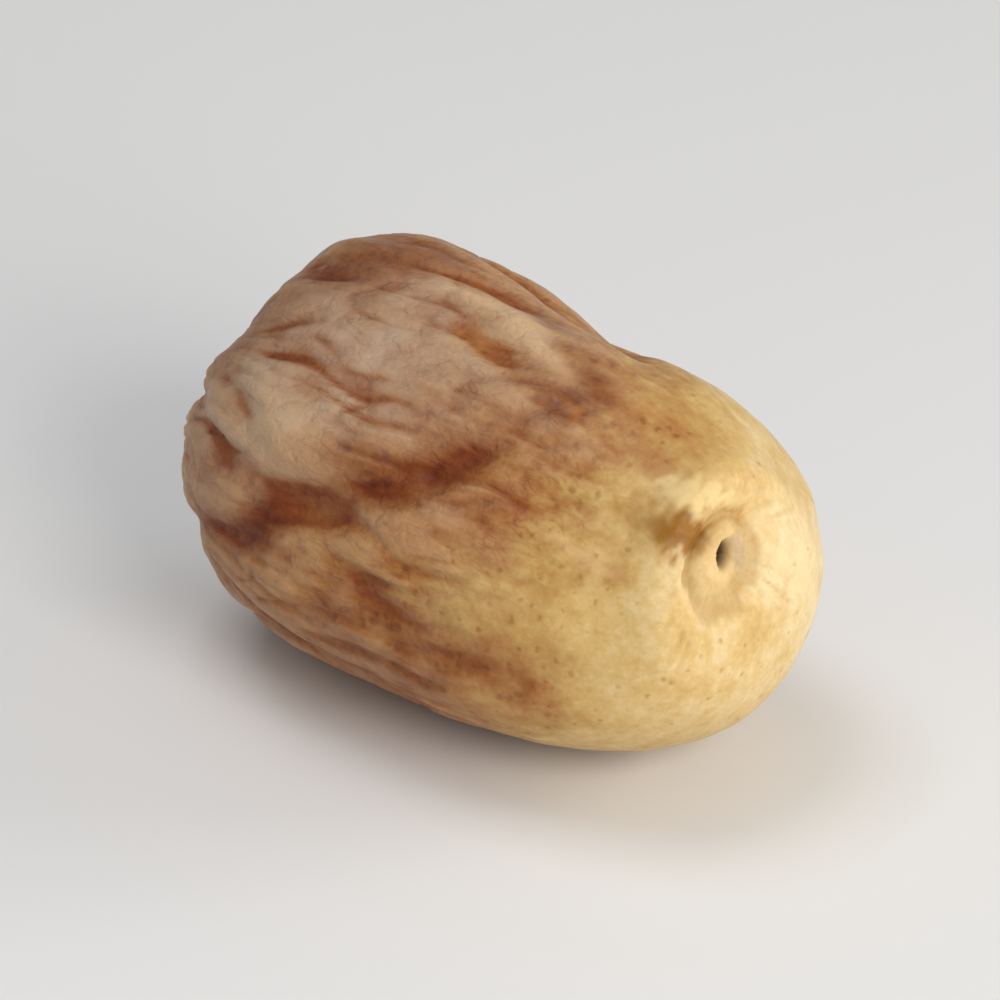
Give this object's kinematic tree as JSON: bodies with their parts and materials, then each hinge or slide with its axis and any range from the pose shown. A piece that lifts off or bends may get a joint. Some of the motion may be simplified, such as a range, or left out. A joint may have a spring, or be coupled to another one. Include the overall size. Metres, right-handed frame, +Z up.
{
  "type": "zahedi date",
  "caption": "Whole semi-dry date fruit lying on its side: blunt oval body, shrivelled towards the apex, smooth at the stem end with a ringed stem scar.",
  "frame": {"origin": "middle of the underside of the bounding box, level with the flat spot that the date rests on", "axes": "+X along the long axis towards the stem scar, +Z up, -Y the side that faces the camera"},
  "size_m": [0.038, 0.0242, 0.0228],
  "materials": {
    "date_skin": "semi-dry date skin: satin, golden yellow and smooth at the stem end, amber to red-brown and wrinkled towards the apex"
  },
  "bodies": {
    "root": {"date_fruit": "date_skin"}
  },
  "joints": []
}
